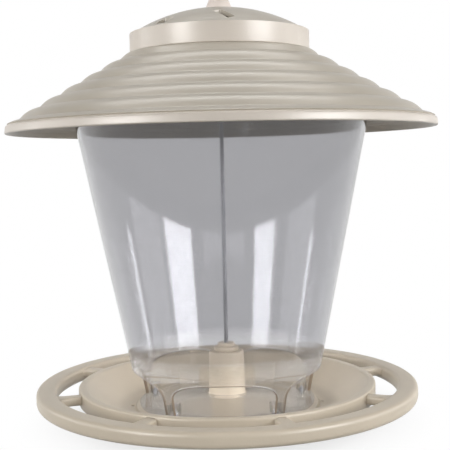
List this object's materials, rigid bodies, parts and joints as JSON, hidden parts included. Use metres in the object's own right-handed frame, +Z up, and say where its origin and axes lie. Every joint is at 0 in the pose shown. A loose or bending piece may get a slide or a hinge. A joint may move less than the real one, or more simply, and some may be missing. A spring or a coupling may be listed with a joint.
{
  "type": "hanging bird seed feeder",
  "caption": "Hanging gravity bird feeder: ribbed round roof with a lift-off cap, clear tapered seed hopper, tray with a spoked perch ring, and a steel hanger rod.",
  "frame": {"origin": "centre of the tray's foot, on the surface that the feeder stands on", "axes": "+Z up along the hanger rod; -Y is the front that the picture shows"},
  "size_m": [0.256, 0.256, 0.3546],
  "materials": {
    "stone_plastic": "satin moulded, stone beige",
    "clear_plastic": "glossy clear, faint grey",
    "pale_vinyl": "soft, pale",
    "zinc_steel": "zinc plated, dull"
  },
  "bodies": {
    "base": {"base_tray": "stone_plastic", "perch_ring": "stone_plastic", "hopper": "clear_plastic", "hanger_rod": "zinc_steel", "rod_nut": "zinc_steel", "rod_washer": "zinc_steel", "post_bush": "stone_plastic", "hopper_screw_1": "zinc_steel", "hopper_screw_2": "zinc_steel", "hopper_screw_3": "zinc_steel", "hopper_screw_4": "zinc_steel", "hopper_screw_5": "zinc_steel"},
    "roof": {"roof": "stone_plastic"},
    "cap_guide": {"cap_grommet": "pale_vinyl"},
    "cap": {"filler_cap": "stone_plastic"}
  },
  "joints": [
    {"name": "roof_lift", "type": "slide", "parent": "base", "child": "roof", "axis": [0, 0, 1], "range_m": [0, 0.035]},
    {"name": "cap_lift", "type": "slide", "parent": "roof", "child": "cap_guide", "axis": [0, 0, 1], "range_m": [0, 0.035]},
    {"name": "cap_turn", "type": "hinge", "parent": "cap_guide", "child": "cap", "pos_m": [0, 0, 0.235], "axis": [0, 0, 1], "continuous": true}
  ]
}
